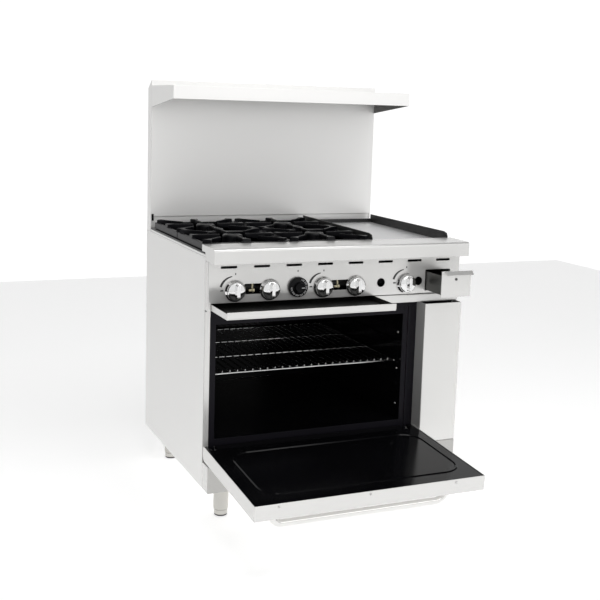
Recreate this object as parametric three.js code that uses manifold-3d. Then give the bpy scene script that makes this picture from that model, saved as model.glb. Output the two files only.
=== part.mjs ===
// A 36 inch commercial gas range: four open burners, a griddle, a standard oven,
// a tall backguard with a high shelf, a crumb tray and a grease drawer.
// Millimetres, +Z up, the cook stands on the -Y side. Drawn from the floor up, with y = 0 on
// the front edge of the side panels, and then centred on the footprint at the end.
import * as THREE from "three";
import { mergeVertices } from "three/addons/utils/BufferGeometryUtils.js";
import Module from "manifold-3d";

const wasm = await Module();
wasm.setup();

// Driving dimensions
const WIDTH = 914;            // 36 in
const HALF = WIDTH / 2;
const BACK = 699;             // rear face
const LEG_HEIGHT = 117;       // floor to the bottom of the body
const SIDE_TOP = 873.5;       // top edge of the side panels
const SHEET = 2;              // folded sheet metal
const GAP = 0.3;              // between pieces that touch
const FRONT_PLANE = -60;      // closed door, kick panel and right column
const PANEL_PLANE = -33;      // control panel
const PANEL_BOTTOM = 730;
const NOSE_FRONT = -89;       // rolled front ledge
const NOSE_BOTTOM = 863;
const NOSE_TOP = 911;
const NOSE_BACK = 34;
const NOSE_SEAT = 889.5;      // where it lies on the cooktop frame
const GUARD_FRONT = 650;      // backguard
const GUARD_TOP = 1429;
const SHELF_FRONT = 371;
const SHELF_TOP = 1408.5;
const KICK_TOP = 205.7;
const COLUMN_LEFT = 313.5;
const COLUMN_TOP = 697.7;
const SECTION_EDGE = 150.5;   // between the open burners and the griddle

// Oven
const OVEN_LEFT = -416;
const OVEN_RIGHT = 264;
const OVEN_FLOOR = 277;
const OVEN_TOP = 655;
const OVEN_DEPTH = 668;
const FACE_PLANE = 2.3;       // front of the enamelled face frame

// Oven door, drawn closed
const DOOR_LEFT = -455.5;
const DOOR_RIGHT = 311.5;
const DOOR_BOTTOM = 212;
const DOOR_TOP = 679;
const DOOR_INNER = -12.6;
const HINGE_Y = -31.6;
const HINGE_Z = 239.5;
const DOOR_OPEN = THREE.MathUtils.degToRad(93.1);

// How far the tray and the drawer stand out
const TRAY_OUT = 146;
const DRAWER_OUT = 113;

// Knob row
const KNOB_Z = 769;
const BURNER_KNOBS = [-368, -250, -62, 56];
const DIAL_X = -153;
const DIAL_Z = 773;
const GRIDDLE_KNOB = 247;
const KNOB_RADIUS = 35;

// Burner columns and rows, left to right and front to back
const COLUMN_X = [-302, -1];
const ROW_Y = [183.5, 471.5];
const GRATE_WIDTH = 299;
const GRATE_DEPTH = 286;
const GRATE_BASE = 889.6;
const GRATE_FRAME = 22;       // height of a grate's outer frame
const FINGERS = 8;
const FINGER_TOP = 923;
const FINGER_DEPTH = 26;
const HUB_RADIUS = 45;        // clear ring over the flame, inside the side fingers
const CORNER_RADIUS = 92;     // the corner fingers end this far from the middle
const BURNER_BASE = 822;      // underside of a burner casting

const steel = () => new THREE.MeshStandardMaterial({ color: 0xd6d6d3, roughness: 0.35, metalness: 0.9 });
const darkSteel = () => new THREE.MeshStandardMaterial({ color: 0x2d2d2e, roughness: 0.5, metalness: 0.6 });
const enamel = () => new THREE.MeshStandardMaterial({ color: 0x0b0b0d, roughness: 0.2, metalness: 0 });
const castIron = () => new THREE.MeshStandardMaterial({ color: 0x17171a, roughness: 0.65, metalness: 0.3 });
const griddleSteel = () => new THREE.MeshStandardMaterial({
  color: 0xc9c9cc,
  roughness: 0.4,
  metalness: 0.8,
});
const chrome = () => new THREE.MeshStandardMaterial({ color: 0xf2f2f2, roughness: 0.08, metalness: 1 });
const brass = () => new THREE.MeshStandardMaterial({ color: 0xb08d45, roughness: 0.35, metalness: 1 });
const pipe = () => new THREE.MeshStandardMaterial({ color: 0x8e8f90, roughness: 0.5, metalness: 0.8 });
const blackPlastic = () => new THREE.MeshStandardMaterial({ color: 0x101011, roughness: 0.4, metalness: 0 });
const rubber = () => new THREE.MeshStandardMaterial({ color: 0x0d0d0d, roughness: 0.8, metalness: 0 });

const range = new THREE.Group();

// A closed three.js geometry as a manifold solid
function solid(geometry) {
  const bare = geometry.clone();
  bare.deleteAttribute("normal");
  bare.deleteAttribute("uv");
  const merged = mergeVertices(bare, 1e-4);
  return new wasm.Manifold(new wasm.Mesh({
    numProp: 3,
    vertProperties: new Float32Array(merged.attributes.position.array),
    triVerts: new Uint32Array(merged.index.array),
  }));
}

// A manifold solid back as a three.js geometry
function geometryOf(body) {
  const mesh = body.getMesh();
  const geometry = new THREE.BufferGeometry();
  geometry.setAttribute("position", new THREE.BufferAttribute(new Float32Array(mesh.vertProperties), 3));
  geometry.setIndex(new THREE.BufferAttribute(new Uint32Array(mesh.triVerts), 1));
  return geometry;
}

function add(name, body, material, parent = range) {
  const mesh = new THREE.Mesh(geometryOf(body), material);
  mesh.name = name;
  parent.add(mesh);
  return mesh;
}

// A box between two corners
function block(x0, x1, y0, y1, z0, z1) {
  const geometry = new THREE.BoxGeometry(x1 - x0, y1 - y0, z1 - z0);
  geometry.translate((x0 + x1) / 2, (y0 + y1) / 2, (z0 + z1) / 2);
  return solid(geometry);
}

// A cylinder from one point along x, y or z
function rod(axis, radius, length, x, y, z, sides = 16) {
  const geometry = new THREE.CylinderGeometry(radius, radius, length, sides);
  geometry.translate(0, length / 2, 0);
  if (axis === "x") geometry.rotateZ(-Math.PI / 2);
  if (axis === "z") geometry.rotateX(Math.PI / 2);
  geometry.translate(x, y, z);
  return solid(geometry);
}

// A profile drawn as [y, z] points, swept along x
function sweepX(points, x0, x1) {
  const shape = new THREE.Shape(points.map(([y, z]) => new THREE.Vector2(y, z)));
  const geometry = new THREE.ExtrudeGeometry(shape, { depth: x1 - x0, bevelEnabled: false });
  geometry.applyMatrix4(new THREE.Matrix4().set(
    0, 0, 1, x0,
    1, 0, 0, 0,
    0, 1, 0, 0,
    0, 0, 0, 1,
  ));
  return solid(geometry);
}

// A turned piece from [radius, height] points, standing on z
function turned(points, x, y, z, sides = 20) {
  const geometry = new THREE.LatheGeometry(points.map(([r, h]) => new THREE.Vector2(r, h)), sides);
  geometry.rotateX(Math.PI / 2);
  geometry.translate(x, y, z);
  return solid(geometry);
}

function union(bodies) {
  return bodies.reduce((sum, body) => sum.add(body));
}

// Side, rear and bottom sheets of the body
function bodySheets() {
  add("left_side_panel", block(-HALF, -HALF + SHEET, 0, BACK - 2, LEG_HEIGHT, SIDE_TOP), steel());
  add("right_side_panel", block(HALF - SHEET, HALF, 0, BACK - 2, LEG_HEIGHT, SIDE_TOP), steel());
  const gasHole = rod("y", 22, 10, 300, BACK - 5, KNOB_Z);
  const rear = block(-HALF, HALF, BACK - 2 + GAP, BACK, LEG_HEIGHT, SIDE_TOP);
  add("rear_panel", rear.subtract(gasHole), steel());
  const inside = HALF - SHEET - GAP;
  add("base_pan", block(-inside, inside, GAP, BACK - 2 - GAP, LEG_HEIGHT, LEG_HEIGHT + 3), steel());
}

// Four tubular legs with screwed levelling feet
function legs() {
  const [legX, frontY, rearY] = [374, 43, 628];
  const places = {
    front_left: [-legX, frontY],
    front_right: [legX, frontY],
    rear_left: [-legX, rearY],
    rear_right: [legX, rearY],
  };
  for (const [place, [x, y]] of Object.entries(places)) {
    const outside = [[12, 22], [24.5, 22], [25.5, 25], [25.5, 112], [30, 113], [30, 116.7]];
    const tube = [...outside, [0, 116.7], [0, 90], [12, 90]];
    add(`leg_${place}`, turned([...tube, tube[0]], x, y, 0, 20), steel());
    const foot = [[0, 0], [20, 0], [22.5, 4], [22.5, 21.7], [10, 21.7], [10, 60], [0, 60]];
    add(`foot_${place}`, turned(foot, x, y, 0, 20), rubber());
  }
}

// Folded panels on the front of the body
function frontPanels() {
  const kick = block(-HALF, HALF, FRONT_PLANE, -GAP, LEG_HEIGHT, KICK_TOP);
  const kickHollow = block(-HALF + SHEET, HALF - SHEET, FRONT_PLANE + SHEET, 5,
    LEG_HEIGHT + SHEET, KICK_TOP - SHEET);
  add("kick_panel", kick.subtract(kickHollow), steel());
  const column = block(COLUMN_LEFT, HALF, FRONT_PLANE, -GAP, KICK_TOP + GAP, COLUMN_TOP);
  const columnHollow = block(COLUMN_LEFT + SHEET, HALF - SHEET, FRONT_PLANE + SHEET, 5,
    KICK_TOP + GAP + SHEET, COLUMN_TOP + 5);
  add("right_column", column.subtract(columnHollow), steel());
  const inside = HALF - SHEET - GAP;
  const frame = block(-inside, inside, 0, SHEET, KICK_TOP + GAP, 700);
  const mouth = block(-436.7, 282.7, -5, 5, 232, 680.5);
  add("front_frame", frame.subtract(mouth), steel());
  add("lower_front_rail", block(133, HALF, PANEL_PLANE, -GAP, 700.3, PANEL_BOTTOM - 2)
    .subtract(block(133 + SHEET, HALF - SHEET, PANEL_PLANE + SHEET, 5, 702.3, PANEL_BOTTOM - 4)), steel());
}

// Enamelled oven: face frame, liner panels with pressed rack guides, floor and burner
function oven() {
  const ring = block(-436.4, 282.4, FACE_PLANE, FACE_PLANE + 2, 232.3, 680.2);
  const opening = block(OVEN_LEFT, OVEN_RIGHT, -5, 10, OVEN_FLOOR, OVEN_TOP);
  add("oven_face_frame", ring.subtract(opening), enamel());
  const front = FACE_PLANE + 2 + GAP;
  const wall = 3;
  const guides = [330, 405, 480, 555];
  const leftGuides = guides.map((z) => block(OVEN_LEFT - 1, OVEN_LEFT + 7, 25, OVEN_DEPTH - 5, z - 6, z));
  const rightGuides = guides.map((z) => block(OVEN_RIGHT - 7, OVEN_RIGHT + 1, 25, OVEN_DEPTH - 5, z - 6, z));
  const left = block(OVEN_LEFT - wall, OVEN_LEFT, front, OVEN_DEPTH, OVEN_FLOOR, OVEN_TOP);
  const right = block(OVEN_RIGHT, OVEN_RIGHT + wall, front, OVEN_DEPTH, OVEN_FLOOR, OVEN_TOP);
  add("oven_liner_left", union([left, ...leftGuides]), enamel());
  add("oven_liner_right", union([right, ...rightGuides]), enamel());
  add("oven_liner_top", block(OVEN_LEFT - wall, OVEN_RIGHT + wall, front, OVEN_DEPTH,
    OVEN_TOP + GAP, OVEN_TOP + GAP + wall), enamel());
  add("oven_liner_back", block(OVEN_LEFT - wall, OVEN_RIGHT + wall, OVEN_DEPTH + GAP, OVEN_DEPTH + GAP + wall,
    OVEN_FLOOR, OVEN_TOP), enamel());
  add("oven_floor", block(OVEN_LEFT - wall, OVEN_RIGHT + wall, front, OVEN_DEPTH,
    OVEN_FLOOR - GAP - wall, OVEN_FLOOR - GAP), enamel());
  const tube = rod("y", 19, 500, -76, 60, 190);
  const cross = block(-200, 48, 560, 592, 176, 204);
  add("oven_burner", union([tube, cross]), castIron());
}

// Control panel with its slots, pilot windows and drawer opening
function controlPanel() {
  const top = NOSE_BOTTOM - GAP;
  const shell = block(-HALF, HALF, PANEL_PLANE, -GAP, PANEL_BOTTOM, top);
  const hollow = block(-HALF + SHEET, HALF - SHEET, PANEL_PLANE + SHEET, 5, PANEL_BOTTOM + SHEET, top + 5);
  const post = block(-HALF, -447, PANEL_PLANE, -GAP, 706, PANEL_BOTTOM);
  const cuts = [hollow];
  const through = (x0, x1, z0, z1) => block(x0, x1, PANEL_PLANE - 5, PANEL_PLANE + 10, z0, z1);
  for (let i = 0; i < 8; i += 1) {
    const x = -389 + 111.2 * i;
    cuts.push(through(x - 27, x + 27, 841, 849));
  }
  for (const x of COLUMN_X) {
    cuts.push(through(x - 34, x + 34, 756, 790));
  }
  for (const x of [152, 296]) {
    cuts.push(rod("y", 15, 15, x, PANEL_PLANE - 5, 774, 20));
  }
  for (const x of [...BURNER_KNOBS, GRIDDLE_KNOB]) {
    cuts.push(rod("y", 7, 15, x, PANEL_PLANE - 5, KNOB_Z, 12));
  }
  cuts.push(rod("y", 7, 15, DIAL_X, PANEL_PLANE - 5, DIAL_Z, 12));
  cuts.push(through(322, 420, 739, 812));
  add("control_panel", cuts.reduce((body, cut) => body.subtract(cut), shell.add(post)), steel());
}

// Rolled front ledge
function bullnose() {
  const rollRadius = 10;
  const roll = (radius, steps) => Array.from({ length: steps + 1 }, (_, i) => {
    const angle = Math.PI - (Math.PI / 2) * (i / steps);
    const [y, z] = [NOSE_FRONT + rollRadius, NOSE_TOP - rollRadius];
    return [y + radius * Math.cos(angle), z + radius * Math.sin(angle)];
  });
  const outer = [[NOSE_FRONT, NOSE_BOTTOM], ...roll(rollRadius, 6), [NOSE_BACK, NOSE_TOP],
    [NOSE_BACK, NOSE_SEAT], [0, NOSE_SEAT], [0, NOSE_BOTTOM]];
  const inner = [[NOSE_FRONT + SHEET, NOSE_BOTTOM + SHEET], ...roll(rollRadius - SHEET, 6),
    [NOSE_BACK - SHEET, NOSE_TOP - SHEET], [NOSE_BACK - SHEET, 880], [-10, 880], [-10, NOSE_BOTTOM + SHEET]];
  const body = sweepX(outer, -HALF, HALF).subtract(sweepX(inner, -HALF + SHEET, HALF - SHEET));
  add("bullnose_ledge", body, steel());
}

// Welded frame that carries the grates and the griddle
function cooktop() {
  const base = SIDE_TOP + GAP;
  const frame = block(-HALF, HALF, GAP, 645, base, NOSE_SEAT - GAP);
  const windows = [
    block(-438, 128, 54, 318, 860, 900),
    block(-438, 128, 338, 630, 860, 900),
    block(SECTION_EDGE, 453.6, 35, 635.3, 860, 900),
  ];
  add("cooktop_frame", windows.reduce((body, cut) => body.subtract(cut), frame), steel());

  for (const [column, x] of COLUMN_X.entries()) {
    for (const [row, y] of ROW_Y.entries()) {
      const valveX = BURNER_KNOBS[column * 2 + row];
      const bowl = [[0, 0], [16, 0], [16, 34], [43, 44], [47, 48], [47, 54]];
      const outline = [...bowl, [35, 60], [35, 93], [30, 99], [0, 99]];
      const head = turned(outline, x, y, BURNER_BASE, 20);
      const tubeZ = BURNER_BASE + 4;
      const venturi = rod("y", 13, y - 47, valveX, 47, tubeZ, 12);
      const reach = rod("x", 13, Math.abs(x - valveX) + 13, Math.min(x, valveX - 13), y, tubeZ, 12);
      const side = ["left", "right"][column];
      const place = ["front", "rear"][row];
      add(`burner_${place}_${side}`, union([head, venturi, reach]), castIron());
    }
  }
}

// Manifold, gas inlet and the valve behind each knob
function gasTrain() {
  const manifold = union([
    rod("x", 13.3, 735, -430, 26, KNOB_Z, 12),
    rod("y", 13.3, BACK - 30, 300, 26, KNOB_Z, 12),
  ]);
  add("gas_manifold", manifold, pipe());
  const valve = (name, x, z = KNOB_Z) => {
    const body = rod("y", 13, 35, x, -25, z, 12);
    const stem = rod("y", 4, 26, x, -48, z, 12);
    const cut = rod("x", 13.7, 60, x - 30, 26, KNOB_Z, 24);
    add(name, union([body, stem]).subtract(cut), brass());
  };
  const names = ["valve_front_left", "valve_rear_left", "valve_front_right", "valve_rear_right"];
  names.forEach((name, i) => valve(name, BURNER_KNOBS[i]));
  valve("valve_griddle", GRIDDLE_KNOB);
  valve("oven_thermostat", DIAL_X, DIAL_Z);
}

// Backguard with its high shelf
function backguard() {
  const rear = BACK - 1.7;
  const foot = SIDE_TOP + GAP;
  const outline = [[GUARD_FRONT, foot], [rear, foot], [rear, 1399.5], [GUARD_FRONT, GUARD_TOP]];
  const hollow = [[GUARD_FRONT + 7, SIDE_TOP - 5], [rear - SHEET, SIDE_TOP - 5], [rear - SHEET, 1398],
    [GUARD_FRONT + 7, GUARD_TOP - 7]];
  const recess = block(-HALF + 6, HALF - 6, GUARD_FRONT - 5, GUARD_FRONT + 5, SIDE_TOP - 5, 929);
  const body = sweepX(outline, -HALF, HALF).subtract(sweepX(hollow, -HALF + SHEET, HALF - SHEET));
  add("backguard", body.subtract(recess), steel());

  const back = GUARD_FRONT - GAP;
  const side = [[SHELF_FRONT, 1362.6], [back, 1330], [back, SHELF_TOP], [SHELF_FRONT, SHELF_TOP]];
  const under = [[SHELF_FRONT + SHEET, 1300], [back + 5, 1300], [back + 5, SHELF_TOP - SHEET],
    [SHELF_FRONT + SHEET, SHELF_TOP - SHEET]];
  add("high_shelf", sweepX(side, -HALF, HALF).subtract(sweepX(under, -HALF + SHEET, HALF - SHEET)), steel());
}

// Griddle plate with its front trough, splash guard and burner
function griddle() {
  const plate = block(155.5, 448.5, 36, 626.5, 871, 896);
  const trough = block(160, 444, 40, 58, 881, 905);
  const chute = block(350, 390, 42, 56, 860, 905);
  add("griddle_plate", plate.subtract(trough).subtract(chute), griddleSteel());
  const nose = [[70, 929], [52, 925], [45, 914], [45, 900], [36, 896]];
  const splashSide = [[36, 871], [631, 871], [631, 927], ...nose];
  const splash = union([
    sweepX(splashSide, 151.2, 155.2),
    sweepX(splashSide, 448.8, 452.8),
    block(152, 452, 627, 631, 871, 910),
  ]);
  add("griddle_splash", splash, darkSteel());
  const loop = [
    rod("y", 13, 480, 240, 80, 835, 12),
    rod("y", 13, 480, 366, 80, 835, 12),
    rod("x", 13, 126, 240, 90, 835, 12),
    rod("y", 11, 60, GRIDDLE_KNOB, 47, 826, 12),
  ];
  add("griddle_burner", union(loop), castIron());
}

// The door turns on fixed arms that reach into slots in its inner face
function door() {
  for (const [side, x] of Object.entries({ left: -430, right: 276 })) {
    const arm = block(x - 3, x + 3, HINGE_Y, -GAP, HINGE_Z - 7.5, HINGE_Z + 7.5);
    const eye = rod("x", 7.5, 6, x - 3, HINGE_Y, HINGE_Z, 20);
    const pin = rod("x", 4, 18, x - 9, HINGE_Y, HINGE_Z, 12);
    add(`hinge_arm_${side}`, union([arm, eye, pin]), darkSteel());
  }

  const leaf = new THREE.Group();
  leaf.position.set(0, HINGE_Y, HINGE_Z);
  leaf.rotation.x = DOOR_OPEN;
  range.add(leaf);
  const hung = (name, body, material) => {
    add(name, body.translate(0, -HINGE_Y, -HINGE_Z), material, leaf);
  };
  const slots = [-430, 276].map((x) => block(x - 12, x + 12, -42, 0, DOOR_BOTTOM - 5, 251));

  const heel = 13;
  const [face, low, high] = [FRONT_PLANE + SHEET, DOOR_BOTTOM + SHEET, DOOR_TOP - SHEET];
  const pan = sweepX([
    [FRONT_PLANE, DOOR_BOTTOM + heel],
    [FRONT_PLANE + heel, DOOR_BOTTOM],
    [DOOR_INNER - 6, DOOR_BOTTOM],
    [DOOR_INNER, DOOR_BOTTOM + 6],
    [DOOR_INNER, DOOR_TOP],
    [FRONT_PLANE, DOOR_TOP],
  ], DOOR_LEFT, DOOR_RIGHT);
  const inside = sweepX([
    [face, DOOR_BOTTOM + heel + 1],
    [FRONT_PLANE + heel + 1, low],
    [5, low],
    [5, high],
    [face, high],
  ], DOOR_LEFT + SHEET, DOOR_RIGHT - SHEET);
  hung("door_skin", pan.subtract(inside).subtract(slots[0]).subtract(slots[1]), steel());

  const edge = SHEET + GAP;
  const lining = block(DOOR_LEFT + edge, DOOR_RIGHT - edge, DOOR_INNER - 9, DOOR_INNER - 2,
    DOOR_BOTTOM + edge, DOOR_TOP - edge);
  const bead = block(-400, 262, DOOR_INNER - 3, DOOR_INNER - 0.5, 262, 622);
  hung("door_inner_panel", union([lining, bead]).subtract(slots[0]).subtract(slots[1]), enamel());

  // A straight bar between two bent ends that stand on the door
  const barZ = DOOR_TOP - 70;
  const barY = FRONT_PLANE - 50;
  const barRadius = 11;
  const bend = 52;
  const [x0, x1] = [-376, 222];
  const section = new THREE.Shape().absarc(0, 0, barRadius, 0, Math.PI * 2);
  const bentEnd = (x, towards) => {
    const extrudePath = new THREE.QuadraticBezierCurve3(
      new THREE.Vector3(x, FRONT_PLANE - GAP, barZ),
      new THREE.Vector3(x, barY, barZ),
      new THREE.Vector3(x + towards * bend, barY, barZ),
    );
    return solid(new THREE.ExtrudeGeometry(section, { steps: 8, curveSegments: 6, extrudePath }));
  };
  const bar = rod("x", barRadius, x1 - x0 - 2 * bend + 4, x0 + bend - 2, barY, barZ, 12);
  hung("door_handle", union([bar, bentEnd(x0, 1), bentEnd(x1, -1)]), steel());
}

// Chromed wire rack on the third pair of guides
function ovenRack() {
  const [x0, x1, y0, y1, z] = [-407, 255, 32, 655, 483.5];
  const wires = [];
  for (const y of [y0, 242, 449, y1 - 6]) {
    wires.push(block(x0, x1, y, y + 6, z - 3, z + 3));
  }
  wires.push(block(x0, x0 + 6, y0, y1, z - 3, z + 3));
  wires.push(block(x1 - 6, x1, y0, y1, z - 3, z + 3));
  const count = 24;
  for (let i = 1; i <= count; i += 1) {
    const x = x0 + (x1 - x0) * (i / (count + 1));
    wires.push(block(x - 1.6, x + 1.6, y0 + 1, y1 - 1, z + 2, z + 5));
  }
  add("oven_rack", union(wires), chrome());
}

// Crumb tray under the open burners
function crumbTray() {
  const front = PANEL_PLANE - 5 - TRAY_OUT;
  const [x0, x1] = [-446, 131];
  const pan = block(x0, x1, front + SHEET, front + 590, 709, 728.5);
  const hollow = block(x0 + SHEET, x1 - SHEET, front + 2 * SHEET, front + 590 - SHEET, 709 + SHEET, 740);
  const lip = block(x0, x1, front, front + SHEET + 1, 713, 732);
  add("crumb_tray", pan.add(lip).subtract(hollow), enamel());
}

// Grease drawer at the right end of the control panel
function greaseDrawer() {
  const front = PANEL_PLANE - 4 - DRAWER_OUT;
  const box = block(325.5, 412, front + SHEET, front + 480, 742, 806);
  const hollow = block(325.5 + SHEET, 412 - SHEET, front + 3 * SHEET, front + 480 - SHEET, 742 + SHEET, 820);
  const plate = block(317, 430, front, front + SHEET + 1, 736, 824);
  const lipUnder = [[front + 1, 821.5], [front - 2, 821.5], [front - 12.4, 810]];
  const lipOver = [[front - 14, 811.5], [front - 3, 824], [front + 1, 824]];
  const lip = sweepX([...lipUnder, ...lipOver], 328, 433);
  add("grease_drawer", union([box, plate, lip]).subtract(hollow), steel());
}

// One cast grate over each burner: a frame and eight fingers round the flame
function grates() {
  for (const [column, x] of COLUMN_X.entries()) {
    for (const [row, y] of ROW_Y.entries()) {
      const [w, d] = [GRATE_WIDTH / 2, GRATE_DEPTH / 2];
      const outer = block(x - w, x + w, y - d, y + d, GRATE_BASE, GRATE_BASE + GRATE_FRAME);
      const inner = block(x - w + 13, x + w - 13, y - d + 13, y + d - 13, GRATE_BASE - 5, GRATE_BASE + 30);
      const fingers = [];
      for (let i = 0; i < FINGERS; i += 1) {
        const angle = (i / FINGERS) * Math.PI * 2;
        const toCorner = Math.hypot(w, d) - 14;
        const toSide = i % 4 === 0 ? w - 6 : d - 6;
        const tip = i % 2 === 0 ? HUB_RADIUS : CORNER_RADIUS;
        const length = (i % 2 === 0 ? toSide : toCorner) - tip;
        const finger = new THREE.BoxGeometry(length, 9, FINGER_DEPTH);
        finger.translate(tip + length / 2, 0, FINGER_TOP - FINGER_DEPTH / 2);
        finger.rotateZ(angle);
        finger.translate(x, y, 0);
        fingers.push(solid(finger));
      }
      const side = ["left", "right"][column];
      const place = ["front", "rear"][row];
      add(`grate_${place}_${side}`, union([outer.subtract(inner), ...fingers]), castIron());
    }
  }
}

// Control knobs, and the oven dial beside them
function knobs() {
  const bore = (x, z = KNOB_Z) => rod("y", 5, 20, x, -52, z, 12);
  const skirtBack = PANEL_PLANE - 0.5;
  const knob = (name, x) => {
    const skirt = rod("y", KNOB_RADIUS, 14, x, skirtBack - 14, KNOB_Z, 24);
    const face = rod("y", KNOB_RADIUS - 5, 8, x, skirtBack - 22, KNOB_Z, 24);
    const grip = block(x - 7.5, x + 7.5, skirtBack - 38, skirtBack - 10, KNOB_Z - 27, KNOB_Z + 27);
    add(name, union([skirt, face, grip]).subtract(bore(x)), chrome());
  };
  const names = ["knob_front_left", "knob_rear_left", "knob_front_right", "knob_rear_right"];
  names.forEach((name, i) => knob(name, BURNER_KNOBS[i]));
  knob("knob_griddle", GRIDDLE_KNOB);
  const dial = union([
    rod("y", 33, 12, DIAL_X, skirtBack - 12, DIAL_Z, 24),
    rod("y", 17, 26, DIAL_X, skirtBack - 26, DIAL_Z, 20),
  ]);
  add("oven_dial", dial.subtract(bore(DIAL_X, DIAL_Z)), blackPlastic());
}

bodySheets();
legs();
frontPanels();
oven();
controlPanel();
bullnose();
cooktop();
gasTrain();
backguard();
griddle();
door();
ovenRack();
crumbTray();
greaseDrawer();
grates();
knobs();

// Centre the footprint at rest, the open door included
const doorReach = (DOOR_TOP - HINGE_Z) * Math.sin(DOOR_OPEN);
const doorTip = HINGE_Y + (DOOR_INNER - HINGE_Y) * Math.cos(DOOR_OPEN) - doorReach;
range.position.y = -(doorTip + BACK) / 2;

export default range;
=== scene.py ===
"""A commercial gas range, 36 inches wide: four open burners and a griddle over one standard oven,
with a tall backguard, a high shelf, a crumb tray and a grease drawer. Metres, +Z up, the cook
stands on the -Y side. The sections follow the order in which the range is put together."""
from math import atan2, cos, pi, radians, sin

import bmesh
import bpy
from mathutils import Matrix, Vector


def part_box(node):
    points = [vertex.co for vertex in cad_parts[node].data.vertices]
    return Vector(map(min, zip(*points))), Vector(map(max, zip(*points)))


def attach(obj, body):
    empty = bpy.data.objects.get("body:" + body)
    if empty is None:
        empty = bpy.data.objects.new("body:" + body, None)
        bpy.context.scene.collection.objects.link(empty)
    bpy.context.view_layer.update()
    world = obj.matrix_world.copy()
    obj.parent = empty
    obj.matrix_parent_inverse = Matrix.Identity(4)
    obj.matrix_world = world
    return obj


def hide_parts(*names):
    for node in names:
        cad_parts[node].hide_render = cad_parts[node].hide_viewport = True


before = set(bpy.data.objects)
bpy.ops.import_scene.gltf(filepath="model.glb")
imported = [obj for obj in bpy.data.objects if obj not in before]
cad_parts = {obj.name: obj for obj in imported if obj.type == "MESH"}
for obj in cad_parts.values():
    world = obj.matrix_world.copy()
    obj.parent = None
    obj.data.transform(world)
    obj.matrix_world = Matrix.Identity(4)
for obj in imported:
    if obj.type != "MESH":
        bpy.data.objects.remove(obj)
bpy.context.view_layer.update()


# ---------------------------------------------------------------- the studio
# A white cove under one wide overhead softbox and a smaller one in front. The walls are bright
# in front and behind, and darker at the sides and overhead, so that polished metal shows its
# form. What is seen behind the range is plain white.
view_turn = radians(-23.713)
view_tilt = radians(-8.699)
view_roll = radians(1.784)
bpy.ops.object.camera_add(location=(-1.4507, -3.1145, 1.3564))
camera = bpy.context.object
camera.rotation_mode = "QUATERNION"
turned_level = Matrix.Rotation(view_turn, 3, "Z") @ Matrix.Rotation(pi / 2 + view_tilt, 3, "X")
camera.rotation_quaternion = (turned_level @ Matrix.Rotation(view_roll, 3, "Z")).to_quaternion()
camera.data.sensor_width = 36
camera.data.lens = 60.974
camera.data.shift_y = -1 / 15
bpy.context.scene.camera = camera
bpy.context.scene.view_settings.view_transform = "Standard"

cove = bpy.data.worlds.new("cove")
cove.use_nodes = True
bpy.context.scene.world = cove
cove_nodes = cove.node_tree.nodes
cove_links = cove.node_tree.links
cove_nodes.clear()


def eased(low, high, start, end):
    """A world node that goes smoothly from start to end as its value goes from low to high."""
    node = cove_nodes.new("ShaderNodeMapRange")
    node.interpolation_type = "SMOOTHSTEP"
    node.inputs["From Min"].default_value = low
    node.inputs["From Max"].default_value = high
    node.inputs["To Min"].default_value = start
    node.inputs["To Max"].default_value = end
    return node


white = (1, 1, 1, 1)
backdrop_strength = 1.08
direction = cove_nodes.new("ShaderNodeTexCoord")
split = cove_nodes.new("ShaderNodeSeparateXYZ")
depth = cove_nodes.new("ShaderNodeMath")
depth.operation = "ABSOLUTE"
side_walls = eased(0.34, 0.52, 0.02, 0.84)
ceiling = eased(0.66, 0.88, 1.0, 0.03)
both = cove_nodes.new("ShaderNodeMath")
both.operation = "MULTIPLY"
ray = cove_nodes.new("ShaderNodeLightPath")
room = cove_nodes.new("ShaderNodeMix")
glow = cove_nodes.new("ShaderNodeBackground")
out = cove_nodes.new("ShaderNodeOutputWorld")
cove_links.new(direction.outputs["Generated"], split.inputs["Vector"])
cove_links.new(split.outputs["Y"], depth.inputs[0])
cove_links.new(depth.outputs["Value"], side_walls.inputs["Value"])
cove_links.new(split.outputs["Z"], ceiling.inputs["Value"])
cove_links.new(side_walls.outputs["Result"], both.inputs[0])
cove_links.new(ceiling.outputs["Result"], both.inputs[1])
cove_links.new(ray.outputs["Is Camera Ray"], room.inputs["Factor"])
cove_links.new(both.outputs["Value"], room.inputs["A"])
room.inputs["B"].default_value = backdrop_strength
glow.inputs["Color"].default_value = white
cove_links.new(room.outputs["Result"], glow.inputs["Strength"])
cove_links.new(glow.outputs["Background"], out.inputs["Surface"])

softboxes = {
    "overhead": ((0.2, -0.9, 3.4), (0, 0, 0), (2.4, 1.6), 38),
    "front": ((1.6, -4.4, 2.2), (radians(72), 0, radians(20)), (2.0, 1.4), 10),
}
for name, (place, turn, size, power) in softboxes.items():
    bpy.ops.object.light_add(type="AREA", location=place, rotation=turn)
    light = bpy.context.object
    light.name = "softbox_" + name
    light.data.shape = "RECTANGLE"
    light.data.size = size[0]
    light.data.size_y = size[1]
    light.data.energy = power


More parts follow.
